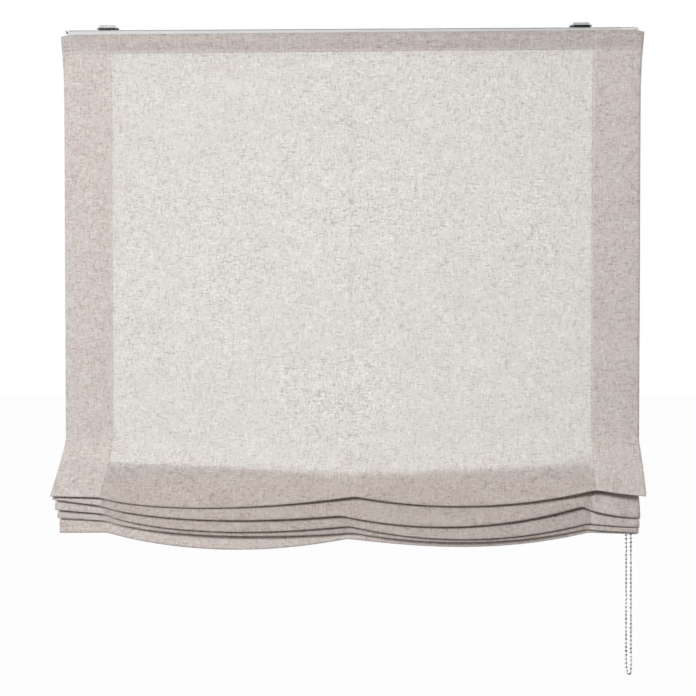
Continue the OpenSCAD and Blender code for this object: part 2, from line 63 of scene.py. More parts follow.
mm = 0.001
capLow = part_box("left_end_cap")[0]
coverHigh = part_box("drive_cover")[1]
blind = {
    "width": coverHigh.x - capLow.x,
    "midX": (coverHigh.x + capLow.x) / 2,
    "top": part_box("headrail")[1].z,
    "back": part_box("loop_tape")[0].y,  # the loop tape's front, where the cloth's back lies
}


# helpers for numbers and colours
def lerp(a, b, t):
    return a + (b - a) * t


def portion(value, low, high):
    return min(1, max(0, (value - low) / (high - low)))


def srgb(r, g, b):
    def toLinear(c):
        c /= 255
        return c / 12.92 if c <= 0.04045 else ((c + 0.055) / 1.055) ** 2.4
    return (toLinear(r), toLinear(g), toLinear(b), 1.0)


def grey(level):
    return (level, level, level, 1.0)


# helpers for meshes
def finishMesh(bm, name):
    for face in bm.faces:
        face.smooth = True
    mesh = bpy.data.meshes.new(name)
    bm.to_mesh(mesh)
    bm.free()
    piece = bpy.data.objects.new(name, mesh)
    bpy.context.scene.collection.objects.link(piece)
    return piece


def roundTemplate(sides, rings):
    bm = bmesh.new()
    bmesh.ops.create_uvsphere(bm, u_segments=sides, v_segments=rings, radius=1)
    return bm


def stamp(bm, template, matrix):
    copy = template.copy()
    bmesh.ops.transform(copy, matrix=matrix, verts=copy.verts)
    mesh = bpy.data.meshes.new("stamp")
    copy.to_mesh(mesh)
    copy.free()
    bm.from_mesh(mesh)
    bpy.data.meshes.remove(mesh)


# helpers for nodes: a socket takes a plain value, or a link from another node's output
noiseSpan = (0.3, 0.7)  # most of a noise pattern lies between these
noiseRoughness = 0.55


def setSockets(tree, node, sockets):
    for key, value in sockets.items():
        if isinstance(value, (int, float, tuple)):
            node.inputs[key].default_value = value
        else:
            tree.links.new(value, node.inputs[key])


def addNode(tree, kind, sockets):
    node = tree.nodes.new(kind)
    setSockets(tree, node, sockets)
    return node


def mathNode(tree, operation, *values):
    node = addNode(tree, "ShaderNodeMath", dict(enumerate(values)))
    node.operation = operation
    return node.outputs["Value"]


def mixColour(tree, factor, first, second, mode="MIX"):
    node = tree.nodes.new("ShaderNodeMix")
    node.data_type = "RGBA"
    node.blend_type = mode
    setSockets(tree, node, {0: factor, 6: first, 7: second})  # 6 and 7 are its two colours
    return node.outputs[2]


def mapRange(tree, value, toRange, fromRange=(0.0, 1.0)):
    node = addNode(tree, "ShaderNodeMapRange", {
        "Value": value,
        "From Min": fromRange[0],
        "From Max": fromRange[1],
        "To Min": toRange[0],
        "To Max": toRange[1],
    })
    return node.outputs["Result"]


def ramp(tree, value, places, colours):
    node = addNode(tree, "ShaderNodeValToRGB", {"Fac": value})
    for element, place, colour in zip(node.color_ramp.elements, places, colours):
        element.position = place
        element.color = colour
    return node.outputs["Color"]


def stretchedNoise(tree, coordinate, scale, detail):
    mapping = addNode(tree, "ShaderNodeMapping", {"Vector": coordinate, "Scale": scale})
    field = addNode(tree, "ShaderNodeTexNoise", {
        "Vector": mapping.outputs["Vector"],
        "Scale": 1.0,
        "Detail": detail,
        "Roughness": noiseRoughness,
    })
    return field.outputs["Fac"]


def bumpNormal(tree, height, strength, distance):
    node = addNode(tree, "ShaderNodeBump", {"Height": height, "Strength": strength, "Distance": distance})
    return node.outputs["Normal"]


def blendSurface(tree, factor, first, second):
    blend = addNode(tree, "ShaderNodeMixShader", {0: factor, 1: first, 2: second})
    tree.links.new(blend.outputs["Shader"], tree.nodes["Material Output"].inputs["Surface"])


def newFinish(name):
    finish = bpy.data.materials.new(name)
    finish.use_nodes = True
    return finish, finish.node_tree, finish.node_tree.nodes["Principled BSDF"]


def objectPlace(tree):
    return tree.nodes.new("ShaderNodeTexCoord").outputs["Object"]


# camera, fitted to the photograph
shot = {
    "focalPixels": 881,
    "framePixels": 696,
    "sensor": 36,  # in millimetres, as the lens takes it
    "distance": 1299 * mm,
    "eyeDrop": 471.5 * mm,
    "sideStep": -4.4 * mm,
    "yaw": math.radians(0.95),
}


def makeCamera():
    lens = bpy.data.cameras.new("photoLens")
    lens.sensor_width = shot["sensor"]
    lens.lens = shot["focalPixels"] / shot["framePixels"] * lens.sensor_width
    camera = bpy.data.objects.new("photoCamera", lens)
    bpy.context.scene.collection.objects.link(camera)
    aim = Vector((blind["midX"] + shot["sideStep"], blind["back"], blind["top"] - shot["eyeDrop"]))
    away = Vector((math.sin(shot["yaw"]), -math.cos(shot["yaw"]), 0))
    camera.location = aim + away * shot["distance"]
    camera.rotation_euler = (math.pi / 2, 0, shot["yaw"])
    bpy.context.scene.camera = camera


# floor, sky and lamps
studio = {
    "floorGap": 60 * mm,
    "floorHalf": 9.0,
    "floorLook": 0.98,  # the floor as the camera sees it
    "floorTone": 0.12,  # the floor as it lights the blind
    "floorRough": 0.9,
    "skyStart": 0.05,  # height at which the sky begins to change
    "skyLow": 0.36,
    "skyHigh": 0.2,
    "skyTint": (1.0, 0.94, 0.87, 1.0),
    "backdrop": (0.05, 0.45),  # towards the rear, mirrored sky turns white over this stretch
    "aimDrop": 400 * mm,
    "lampSize": 0.8,
    "lamps": {
        "keyLamp": {"place": (-1.5, -3.8, 1.05), "power": 207},
        "glowLamp": {"place": (0.0, 1.5, -0.5), "power": 39},  # shines through the cloth from behind
        "sideLamp": {"place": (2.6, 0.35, 0.1), "power": 24},
    },
}


def makeFloor():
    bm = bmesh.new()
    bmesh.ops.create_grid(bm, x_segments=2, y_segments=2, size=studio["floorHalf"])
    bmesh.ops.translate(bm, verts=bm.verts, vec=(0, 0, cadBox[0].z - studio["floorGap"]))
    floor = finishMesh(bm, "paleFloor")
    paint, tree, shader = newFinish("palePaint")
    setSockets(tree, shader, {"Base Color": grey(studio["floorTone"]), "Roughness": studio["floorRough"]})
    pale = addNode(tree, "ShaderNodeEmission", {"Color": grey(studio["floorLook"])})
    seen = tree.nodes.new("ShaderNodeLightPath").outputs["Is Camera Ray"]
    blendSurface(tree, seen, shader.outputs["BSDF"], pale.outputs["Emission"])
    floor.data.materials.append(paint)


def makeSky():
    world = bpy.data.worlds.new("studioWorld")
    world.use_nodes = True
    tree = world.node_tree
    ray = tree.nodes.new("ShaderNodeLightPath")
    direction = tree.nodes.new("ShaderNodeTexCoord").outputs["Generated"]
    split = addNode(tree, "ShaderNodeSeparateXYZ", {"Vector": direction})
    behind = mapRange(tree, split.outputs["Y"], (0.0, 1.0), studio["backdrop"])
    mirrored = mathNode(tree, "MULTIPLY", ray.outputs["Is Glossy Ray"], behind)
    white = mathNode(tree, "MAXIMUM", ray.outputs["Is Camera Ray"], mirrored)
    levels = (studio["skyLow"], studio["skyHigh"])
    glow = mapRange(tree, split.outputs["Z"], levels, (studio["skyStart"], 1.0))
    setSockets(tree, tree.nodes["Background"], {
        "Color": mixColour(tree, white, studio["skyTint"], grey(1.0)),
        "Strength": mapRange(tree, white, (glow, 1.0)),
    })
    bpy.context.scene.world = world
    bpy.context.scene.view_settings.view_transform = "Standard"


def addLamps():
    aim = Vector((blind["midX"], blind["back"], blind["top"] - studio["aimDrop"]))
    for name, look in studio["lamps"].items():
        lamp = bpy.data.lights.new(name, "AREA")
        lamp.size = studio["lampSize"]
        lamp.energy = look["power"]
        holder = bpy.data.objects.new(name, lamp)
        bpy.context.scene.collection.objects.link(holder)
        holder.location = look["place"]
        holder.rotation_euler = (aim - Vector(look["place"])).to_track_quat("-Z", "Y").to_euler()


makeCamera()
makeFloor()
makeSky()
addLamps()
print("camera and studio ready")


# blind cloth: measures in millimetres, drops are below the end of the flat panel
# each row of a fold table is one fold, and the last row is the bottom hem
# its places are left edge, left cord, left bay, middle cord, right bay, right cord and right edge
cloth = {
    "thickness": 0.7,
    "panelDrop": 606,
    "topEdge": (7.5, 5),  # below the rail's top, at the left and right
    "cornerDip": 3,
    "cornerWidth": 26,
    "topHem": 28.5,
    "hemWidth": 71,
    "hemStep": 1.6,
    "hemLift": 0.35,  # how far a hem's second layer stands out
    "seamInset": 2.6,
    "topFlare": 6,  # wider by this on each side at the rail
    "flareHeight": 110,
    "foldShift": -6,  # the folds hang a little to the left
    "shiftHeight": 78,
    "shiftCurve": 1.5,
    "panelWaist": 2.8,  # narrower by this on each side at the panel's end
    "flapColumns": 16,
    "bayColumns": 79,
    "topRows": 3,
    "panelRows": 40,
    "foldRows": 20,
    "hemRows": 18,
    "foldDrop": (
        (78.5, 80, 95, 78, 91, 67, 76),
        (84.5, 94, 112.5, 106.5, 121, 92.5, 112.5),
        (101, 107, 130, 123.5, 140.5, 119.5, 126),
        (115, 119, 137.5, 135, 146.5, 129.5, 135),
        (139, 138.5, 162, 146.5, 156.5, 136, 138),
    ),
    "foldReach": (  # how far a fold stands out from the panel
        (40, 39, 36.5, 36.5, 36.5, 40, 41),
        (31, 30, 33.5, 31, 33.5, 26, 13),
        (21, 20, 28, 21, 28, 15, 11),
        (10, 10, 20, 12, 20, 8, 7.5),
        (1, 1, 5, 2, 5, 1, 1),
    ),
    "creaseHeight": (  # from a fold up to the crease it falls from; the first falls from the panel
        (0, 0, 0, 0, 0, 0, 0),
        (60, 60, 74, 59, 78, 60, 62),
        (62, 60, 58.5, 61, 58.5, 62.5, 61.5),
        (59.5, 57, 52, 55, 52.5, 58, 58),
        (54, 54, 54, 54, 54, 54, 54),
    ),
    "middlePeak": (12, -9, 3, 8, 0),  # where a fold is pulled up, beside the middle and right cords
    "rightPeak": (2, -13, -4, -4, 0),
    "leftSkew": (0.8, 0.8, 0.8, 0.8, 0.95),  # below 1 the bay's low place moves left, above 1 right
    "rightSkew": (1, 1, 1, 1, 1.15),
    "flapEase": {"foldDrop": (0.7, 0.55, 0.7, 0.7, 0.7), "foldReach": (3,) * 5, "creaseHeight": (1,) * 5},
    "swellFront": (6, 9, 6, 4),  # how full a fold is in front and behind
    "swellBack": (6, 5, 4, 4),
    "creaseRound": (6, 3),  # before and after the crease
    "firstFall": 0.12,  # share of its drop that steers the first fold straight down
    "softening": 5,  # rounds the peaks at the cords
    "softSteps": 3,
    "layered": (42, 60),  # below the panel, the cloth goes from one layer to several here
    "ripple": 0.7,
    "slowRipple": (130, 210, 3.1),  # wave width, wave height and seed
    "quickRipple": (46, 90, 7.7),
    "quickShare": 0.35,
    "rippleStart": (30, 150),
}
foldCount = len(cloth["foldDrop"]) - 1
clothWidth = blind["width"] / mm
cordReach = clothWidth / 2 - cloth["hemWidth"]
clothY = -cloth["thickness"] / 2


def swag(left, low, right, u):
    return lerp(left, right, u) + 4 * u * (1 - u) * (low - (left + right) / 2)


def acrossFold(table, fold, x):
    leftEdge, leftCord, leftBay, midCord, rightBay, rightCord, rightEdge = cloth[table][fold]
    middle = cloth["middlePeak"][fold]
    right = cordReach + cloth["rightPeak"][fold]
    if x < -cordReach:
        return lerp(leftCord, leftEdge, (-cordReach - x) / cloth["hemWidth"])
    if x < middle:
        u = (x + cordReach) / (middle + cordReach)
        return swag(leftCord, leftBay, midCord, u ** cloth["leftSkew"][fold])
    if x < right:
        u = (x - middle) / (right - middle)
        return swag(midCord, rightBay, rightCord, u ** cloth["rightSkew"][fold])
    u = (x - right) / (clothWidth / 2 - right)
    return lerp(rightCord, rightEdge, u ** cloth["flapEase"][table][fold])


def softened(table, fold, x):
    spread, steps = cloth["softening"], cloth["softSteps"]
    values = [acrossFold(table, fold, x + spread * k / steps) for k in range(-steps, steps + 1)]
    return sum(values) / len(values)


def loopZ(fold, x):
    return -cloth["panelDrop"] - softened("foldDrop", fold, x)


def creasePoint(fold, x):
    if fold == 0:
        return Vector((clothY, -cloth["panelDrop"]))
    return Vector((clothY, loopZ(fold, x) + softened("creaseHeight", fold, x)))


def loopPoint(fold, x):
    return Vector((clothY - softened("foldReach", fold, x), loopZ(fold, x)))


def fallCurve(fold, x):
    a, b = creasePoint(fold, x), loopPoint(fold, x)
    lead = cloth["firstFall"] * (a.y - b.y) if fold == 0 else cloth["creaseRound"][1]
    return a, a - Vector((0, lead)), b - Vector((cloth["swellFront"][fold], 0)), b


def riseCurve(fold, x):
    b, c = loopPoint(fold, x), creasePoint(fold + 1, x)
    return b, b + Vector((cloth["swellBack"][fold], 0)), c + Vector((0, cloth["creaseRound"][0])), c


def hemCurve(x):
    a, b = creasePoint(foldCount, x), loopPoint(foldCount, x)
    third = Vector((0, (a.y - b.y) / 3))
    return a, a - third, b + third, b


def bezier(curve, t):
    a, b, c, d = curve
    return a * (1 - t) ** 3 + b * (3 * t * (1 - t) ** 2) + c * (3 * t * t * (1 - t)) + d * t ** 3


# one column of the cloth, from its top edge down through the folds, as depth and height
def clothProfile(x):
    corner = max(0, 1 - (clothWidth / 2 - abs(x)) / cloth["cornerWidth"])
    top = -lerp(*cloth["topEdge"], x / clothWidth + 0.5) - cloth["cornerDip"] * corner ** 2
    hemEnd = top - cloth["topHem"]
    hemSteps, rows, foldRows = cloth["topRows"] - 1, cloth["panelRows"], cloth["foldRows"]
    topLevels = [lerp(top, hemEnd, k / hemSteps) for k in range(cloth["topRows"])]
    levels = [lerp(hemEnd - cloth["hemStep"], -cloth["panelDrop"], k / rows) for k in range(rows)]
    points = [Vector((clothY - cloth["hemLift"], z)) for z in topLevels]
    points += [Vector((clothY, z)) for z in levels]
    for fold in range(foldCount):
        for curve in (fallCurve(fold, x), riseCurve(fold, x)):
            points += [bezier(curve, k / foldRows) for k in range(foldRows)]
    hem = hemCurve(x)
    points += [bezier(hem, k / cloth["hemRows"]) for k in range(cloth["hemRows"] + 1)]
    return points


def spreadX(x, z):
    up = max(0, 1 + z / cloth["flareHeight"])
    down = portion(-z - cloth["panelDrop"], 0, cloth["shiftHeight"])
    drawn = min(1, -z / cloth["panelDrop"]) - down
    wider = cloth["topFlare"] * up * up - cloth["panelWaist"] * drawn
    return x * (1 + 2 * wider / clothWidth) + cloth["foldShift"] * down ** cloth["shiftCurve"]


def wave(x, z, shape):
    return noise.noise(Vector((x / shape[0], z / shape[1], shape[2])))


def ripple(x, z):
    hang = portion(-z, *cloth["rippleStart"])
    quick = cloth["quickShare"] * wave(x, z, cloth["quickRipple"])
    return cloth["ripple"] * hang * (wave(x, z, cloth["slowRipple"]) + quick)


def clothSpot(x, row, point):
    inHem = abs(x) > cordReach + cloth["hemStep"] / 2 and row >= cloth["topRows"]
    depth = point.x - (cloth["hemLift"] if inHem else 0) - abs(ripple(x, point.y))
    return Vector((
        blind["midX"] + spreadX(x, point.y) * mm,
        blind["back"] + depth * mm,
        blind["top"] + point.y * mm,
    ))


def columnPlaces():
    flap, bay = cloth["flapColumns"], cloth["bayColumns"]
    left = [lerp(-clothWidth / 2, -cordReach - cloth["hemStep"], k / flap) for k in range(flap + 1)]
    middle = [cordReach * k / bay for k in range(-bay, bay + 1)]
    return left + middle + [-x for x in reversed(left)]


def makeCloth():
    across = columnPlaces()
    columns, rows = len(across) - 1, len(clothProfile(0)) - 1
    place, run, layered = {}, {}, {}
    for column, x in enumerate(across):
        profile = clothProfile(x)
        length = 0
        for row, point in enumerate(profile):
            if row:
                length += (point - profile[row - 1]).length
            run[column, row] = length
            place[column, row] = clothSpot(x, row, point)
            layered[column, row] = portion(-point.y - cloth["panelDrop"], *cloth["layered"])

    bm = bmesh.new()
    bmesh.ops.create_grid(bm, x_segments=columns, y_segments=rows, size=0.5)
    flat = bm.loops.layers.uv.new("clothFlat")
    footHem = bm.verts.layers.float.new("footHem")
    gathered = bm.verts.layers.float.new("gathered")
    spots = {}
    for vertex in bm.verts:
        spots[vertex.index] = (round((vertex.co.x + 0.5) * columns), round((0.5 - vertex.co.y) * rows))
    for face in bm.faces:
        for corner in face.loops:
            column, row = spots[corner.vert.index]
            corner[flat].uv = (across[column] * mm + blind["width"] / 2, run[column, row] * mm)
    for vertex in bm.verts:
        column, row = spots[vertex.index]
        vertex[footHem] = 1 if row >= rows - cloth["hemRows"] else 0
        vertex[gathered] = layered[column, row]
        vertex.co = place[column, row]
    piece = finishMesh(bm, "linenCloth")
    body = piece.modifiers.new("clothBody", "SOLIDIFY")
    body.thickness = cloth["thickness"] * mm
    body.offset = 0
    lengths = [run[column, rows] for column in range(columns + 1)]
    return piece, sum(lengths) / len(lengths) * mm


linen = {
    "plain": srgb(212, 204, 200),
    "rosy": srgb(210, 199, 197),
    "dark": srgb(150, 136, 126),
    "pale": srgb(240, 236, 230),
    # painted shade: multiplies the top hem's colour darker
    "topHemPaintedShade": srgb(239, 239, 239),
    "glow": srgb(229, 242, 241),  # light that comes through, in the panel, the folds and the hems
    "foldGlow": srgb(248, 242, 236),
    "hemGlow": srgb(205, 202, 198),
    "glowShare": 0.6,
    "through": 0.49,
    "hemThrough": 0.3,
    "mottle": (40, 34, 1),
    "mottleDetail": 2,
    "mottleSpan": (0.35, 0.65),
    "thread": 1.25 * mm,
    "slub": 8 * mm,
    "slubStep": 7.37,  # from thread to thread, so that neighbours differ
    "slubDetail": 1.0,
    "slubRoughness": 0.5,
    "weftSeed": 0.3,
    "warpSeed": 5.6,
    "weftShare": 0.5,
    "warpShare": 0.4,
    "darkSpan": (0.62, 0.665),
    "paleSpan": (0.335, 0.38),
    "ridgeHalf": 1.1 * mm,
    # painted highlight: share of pale colour along the seam ridges
    "ridgePaintedHighlight": 0.35,
    "ridgeRise": 0.5,
    "weaveRise": 0.25,
    "bump": 0.22,
    "bumpDepth": 0.6 * mm,
    "roughness": 0.93,
    "shine": 0.15,
    "sheen": 0.1,
    "sheenRoughness": 0.5,
}


def threadSlub(tree, run, side, seed):
    thread = mathNode(tree, "FLOOR", mathNode(tree, "DIVIDE", side, linen["thread"]))
    place = addNode(tree, "ShaderNodeCombineXYZ", {
        "X": mathNode(tree, "DIVIDE", run, linen["slub"]),
        "Y": mathNode(tree, "MULTIPLY", thread, linen["slubStep"]),
        "Z": seed,
    })
    field = addNode(tree, "ShaderNodeTexNoise", {
        "Vector": place.outputs["Vector"],
        "Scale": 1.0,
        "Detail": linen["slubDetail"],
        "Roughness": linen["slubRoughness"],
    })
    return field.outputs["Fac"]


# slubs: short thick places in single threads of both directions, darker or paler than the ground
def slubColour(tree, uv, weft, warp):
    rising, falling = (grey(0), grey(1)), (grey(1), grey(0))
    mottle = stretchedNoise(tree, uv, linen["mottle"], linen["mottleDetail"])
    ground = ramp(tree, mottle, linen["mottleSpan"], rising)
    coloured = mixColour(tree, ground, linen["plain"], linen["rosy"])
    for slub, share in ((weft, linen["weftShare"]), (warp, linen["warpShare"])):
        darkShare = mathNode(tree, "MULTIPLY", ramp(tree, slub, linen["darkSpan"], rising), share)
        coloured = mixColour(tree, darkShare, coloured, linen["dark"])
        paleShare = mathNode(tree, "MULTIPLY", ramp(tree, slub, linen["paleSpan"], falling), share)
        coloured = mixColour(tree, paleShare, coloured, linen["pale"])
    return coloured


def nearLine(tree, value, line):
    gap = mathNode(tree, "ABSOLUTE", mathNode(tree, "SUBTRACT", value, line))
    return mathNode(tree, "LESS_THAN", gap, linen["ridgeHalf"])


def weaveNormal(tree, across, along, slubs, ridge):
    turn = 2 * math.pi / linen["thread"]
    warpThread = mathNode(tree, "SINE", mathNode(tree, "MULTIPLY", across, turn))
    weftThread = mathNode(tree, "SINE", mathNode(tree, "MULTIPLY", along, turn))
    weave = mathNode(tree, "MULTIPLY", warpThread, weftThread)
    height = mathNode(tree, "ADD", mathNode(tree, "MULTIPLY", weave, linen["weaveRise"]), slubs)
    height = mathNode(tree, "ADD", height, mathNode(tree, "MULTIPLY", ridge, linen["ridgeRise"]))
    return bumpNormal(tree, height, linen["bump"], linen["bumpDepth"])


def attribute(tree, name):
    node = tree.nodes.new("ShaderNodeAttribute")
    node.attribute_name = name
    return node.outputs["Fac"]


def linenFinish():
    finish, tree, shader = newFinish("slubLinen")
    flatMap = tree.nodes.new("ShaderNodeUVMap")
    flatMap.uv_map = "clothFlat"
    uv = flatMap.outputs["UV"]
    split = addNode(tree, "ShaderNodeSeparateXYZ", {"Vector": uv})
    across, along = split.outputs["X"], split.outputs["Y"]
    weft = threadSlub(tree, across, along, linen["weftSeed"])
    warp = threadSlub(tree, along, across, linen["warpSeed"])
    coloured = slubColour(tree, uv, weft, warp)

    # hems lie double: less light comes through, and the seam along their edge is a small ridge; painted
    # shade darkens the top hem's colour, and a painted highlight makes the ridge paler
    off = mathNode(tree, "ABSOLUTE", mathNode(tree, "SUBTRACT", across, blind["width"] / 2))
    sideLine, topLine, inset = cordReach * mm, cloth["topHem"] * mm, cloth["seamInset"] * mm
    topHem = mathNode(tree, "LESS_THAN", along, topLine)
    double = mathNode(tree, "MAXIMUM", mathNode(tree, "GREATER_THAN", off, sideLine), topHem)
    double = mathNode(tree, "MAXIMUM", double, attribute(tree, "footHem"))
    # painted shade darkens the top hem's colour
    coloured = mixColour(tree, topHem, coloured, linen["topHemPaintedShade"], "MULTIPLY")
    sideRidge = nearLine(tree, off, sideLine + inset)
    ridge = mathNode(tree, "MAXIMUM", sideRidge, nearLine(tree, along, topLine - inset))
    # painted highlight: the seam ridge's colour is made paler, as where a raised edge catches light; its
    # relief is real bump
    ridgeHighlightShare = mathNode(tree, "MULTIPLY", ridge, linen["ridgePaintedHighlight"])
    coloured = mixColour(tree, ridgeHighlightShare, coloured, linen["pale"])
    normal = weaveNormal(tree, across, along, mathNode(tree, "ADD", weft, warp), ridge)
    setSockets(tree, shader, {
        "Base Color": coloured,
        "Normal": normal,
        "Roughness": linen["roughness"],
        "Specular IOR Level": linen["shine"],
        "Sheen Weight": linen["sheen"],
        "Sheen Roughness": linen["sheenRoughness"],
    })

    tone = mixColour(tree, attribute(tree, "gathered"), linen["glow"], linen["foldGlow"])
    glow = mixColour(tree, linen["glowShare"], coloured, tone)
    glow = mixColour(tree, double, glow, linen["hemGlow"], "MULTIPLY")
    through = addNode(tree, "ShaderNodeBsdfTranslucent", {"Color": glow, "Normal": normal})
    share = mapRange(tree, double, (linen["through"], linen["hemThrough"]))
    blendSurface(tree, share, shader.outputs["BSDF"], through.outputs["BSDF"])
    return finish


clothPiece, flatLength = makeCloth()
clothPiece.data.materials.append(linenFinish())
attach(clothPiece, "headrail")
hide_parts("blind_cloth")
print("cloth made, flat length %.3f m" % flatLength)


# finishes of threads and tapes: one fine pattern for colour and relief
sewingThread = {"fibre": 2400, "bump": 0.5, "bumpDepth": 0.2 * mm, "roughness": 0.8}
wovenTape = {"fibre": 1500, "bump": 0.8, "bumpDepth": 0.6 * mm, "roughness": 0.95}
fibreDetail = 2


def fibreFinish(name, low, high, look):
    finish, tree, shader = newFinish(name)
    fibre = stretchedNoise(tree, objectPlace(tree), (look["fibre"],) * 3, fibreDetail)
    setSockets(tree, shader, {
        "Base Color": ramp(tree, fibre, noiseSpan, (low, high)),
        "Normal": bumpNormal(tree, fibre, look["bump"], look["bumpDepth"]),
        "Roughness": look["roughness"],
    })
    return finish


# seams along the hems
seam = {"pitch": 3.4 * mm, "length": 2.3 * mm, "half": 0.3 * mm, "sides": 6, "rings": 4}


def sideSeam(x):
    return [clothSpot(x, row, point) for row, point in enumerate(clothProfile(x))]


def topSeam():
    path = []
    for x in columnPlaces():
        profile = clothProfile(x)
        path.append(clothSpot(x, 0, profile[0] - Vector((0, cloth["topHem"] - cloth["seamInset"]))))
    return path


def addStitches(bm, stitch, path, beside):
    ahead = seam["pitch"]  # from the start of this span to its next stitch
    for a, b in zip(path, path[1:]):
        span = b - a
        while ahead < span.length:
            run = span.normalized()
            out = run.cross(beside).normalized() * (cloth["thickness"] * mm / 2)
            turn = run.to_track_quat("Z", "Y").to_matrix().to_4x4()
            shape = Matrix.Diagonal((seam["half"], seam["half"], seam["length"] / 2, 1))
            stamp(bm, stitch, Matrix.Translation(a + run * ahead + out) @ turn @ shape)
            ahead += seam["pitch"]
        ahead -= span.length


def makeSeams():
    bm = bmesh.new()
    stitch = roundTemplate(seam["sides"], seam["rings"])
    for side in (-1, 1):
        addStitches(bm, stitch, sideSeam(side * (cordReach + cloth["seamInset"])), Vector((1, 0, 0)))
    addStitches(bm, stitch, topSeam(), Vector((0, 0, 1)))
    stitch.free()
    return finishMesh(bm, "hemStitches")


seamPiece = makeSeams()
seamPiece.data.materials.append(
    fibreFinish("hemThread", srgb(150, 138, 129), srgb(180, 169, 160), sewingThread))
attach(seamPiece, "headrail")
print("seams made, %d faces" % len(seamPiece.data.polygons))


# thread loops that sew the cord rings to the cloth's back
sewnLoop = {"ringWire": 1.8 * mm, "thread": 0.3 * mm, "pitch": 0.7 * mm, "turns": 3, "sides": 4, "steps": 8}


def ringHeights(name):
    heights = sorted(vertex.co.z for vertex in nodes[name].data.vertices)
    rings = [[heights[0]]]
    for z in heights:
        if z - rings[-1][-1] > sewnLoop["ringWire"] / 2:
            rings.append([])
        rings[-1].append(z)
    return [(ring[0] + ring[-1]) / 2 for ring in rings]


def addLoop(bm, middle):
    reach = (sewnLoop["ringWire"] + sewnLoop["thread"]) / 2
    section = bmesh.ops.create_circle(bm, segments=sewnLoop["sides"], radius=sewnLoop["thread"] / 2,
                                      matrix=Matrix.Translation(middle + Vector((0, reach, 0))))
    corners = section["verts"]
    edges = list(dict.fromkeys(edge for vertex in corners for edge in vertex.link_edges))
    bmesh.ops.spin(bm, geom=corners + edges, cent=middle, axis=(1, 0, 0), angle=2 * math.pi,
                   steps=sewnLoop["steps"], use_merge=True)


def makeLoops():
    bm = bmesh.new()
    firstTurn = -(sewnLoop["turns"] - 1) / 2
    for name in ("cord_rings_left", "cord_rings_centre", "cord_rings_right"):
        low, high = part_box(name)
        for z in ringHeights(name):
            for turn in range(sewnLoop["turns"]):
                x = (low.x + high.x) / 2 + (firstTurn + turn) * sewnLoop["pitch"]
                addLoop(bm, Vector((x, low.y + sewnLoop["ringWire"] / 2, z)))
    bmesh.ops.recalc_face_normals(bm, faces=bm.faces)
    return finishMesh(bm, "ringStitches")


loopPiece = makeLoops()
loopPiece.data.materials.append(
    fibreFinish("ringThread", srgb(198, 190, 182), srgb(226, 220, 213), sewingThread))
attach(loopPiece, "headrail")
print("ring stitches made, %d faces" % len(loopPiece.data.polygons))


# ball chain: link wire as the cord, with its balls on it
chainLow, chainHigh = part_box("bead_chain")
chain = {
    "ball": 4.5 * mm,
    "ballSides": 8,
    "ballRings": 6,
    "pitch": 6 * mm,
    "turnBalls": 6,  # balls round half a turn, at the wheel and at the foot
    "wire": 1.2 * mm,
    "wireRound": 2,
    "wireLegs": 8,  # stretches of wire on each straight run
}


def chainRoute():
    radius = chain["ball"] / 2
    x = (chainLow.x + chainHigh.x) / 2
    front, rear = chainLow.y + radius, chainHigh.y - radius
    turn = (rear - front) / 2
    middle = (front + rear) / 2
    top, foot = chainHigh.z - radius - turn, chainLow.z + radius + turn
    count = round((top - foot) / chain["pitch"])
    down = [Vector((x, front, lerp(top, foot, k / count))) for k in range(count + 1)]
    up = [Vector((x, rear, point.z)) for point in reversed(down)]
    angles = [math.pi * k / chain["turnBalls"] for k in range(1, chain["turnBalls"])]
    bottom = [Vector((x, middle - turn * math.cos(a), foot - turn * math.sin(a))) for a in angles]
    over = [Vector((x, middle - turn * math.cos(a), top + turn * math.sin(a))) for a in angles]
    return down, bottom, up, over


def makeWire(route):
    wire = bpy.data.curves.new("chainWire", "CURVE")
    wire.dimensions = "3D"
    wire.bevel_depth = chain["wire"] / 2
    wire.bevel_resolution = chain["wireRound"]
    wire.use_fill_caps = True
    spline = wire.splines.new("POLY")
    spline.points.add(len(route) - 1)
    for point, target in zip(spline.points, route):
        point.co = (*target, 1)
    wireObject = bpy.data.objects.new("chainWire", wire)
    bpy.context.scene.collection.objects.link(wireObject)
    return wireObject


def makeBalls(places):
    bm = bmesh.new()
    ball = roundTemplate(chain["ballSides"], chain["ballRings"])
    for point in places:
        stamp(bm, ball, Matrix.Translation(point) @ Matrix.Scale(chain["ball"] / 2, 4))
    ball.free()
    return finishMesh(bm, "chainBalls")


def makeChain():
    down, bottom, up, over = chainRoute()
    stride = len(down) // chain["wireLegs"]
    descent = down[::stride] + ([down[-1]] if (len(down) - 1) % stride else [])
    climb = [Vector((point.x, up[0].y, point.z)) for point in reversed(descent)]
    route = descent + bottom + climb
    length = sum((b - a).length for a, b in zip(route, route[1:]))
    return makeWire(route), makeBalls(down + bottom + up + over), length, route[0]


plating = {
    "cloud": 420,
    "cloudDetail": 3,
    "dull": srgb(196, 196, 194),
    "bright": srgb(222, 222, 220),
    "roughness": (grey(0.16), grey(0.3)),
}


def nickelFinish():
    finish, tree, shader = newFinish("nickelPlate")
    cloud = stretchedNoise(tree, objectPlace(tree), (plating["cloud"],) * 3, plating["cloudDetail"])
    setSockets(tree, shader, {
        "Base Color": ramp(tree, cloud, noiseSpan, (plating["dull"], plating["bright"])),
        "Roughness": ramp(tree, cloud, noiseSpan, plating["roughness"]),
        "Metallic": 1.0,
    })
    return finish


nickel = nickelFinish()
wirePiece, ballPiece, wireLength, wireStart = makeChain()
for piece in (wirePiece, ballPiece):
    piece.data.materials.append(nickel)
    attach(piece, "headrail")
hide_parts("bead_chain")
print("chain made, %.3f m of wire" % wireLength)


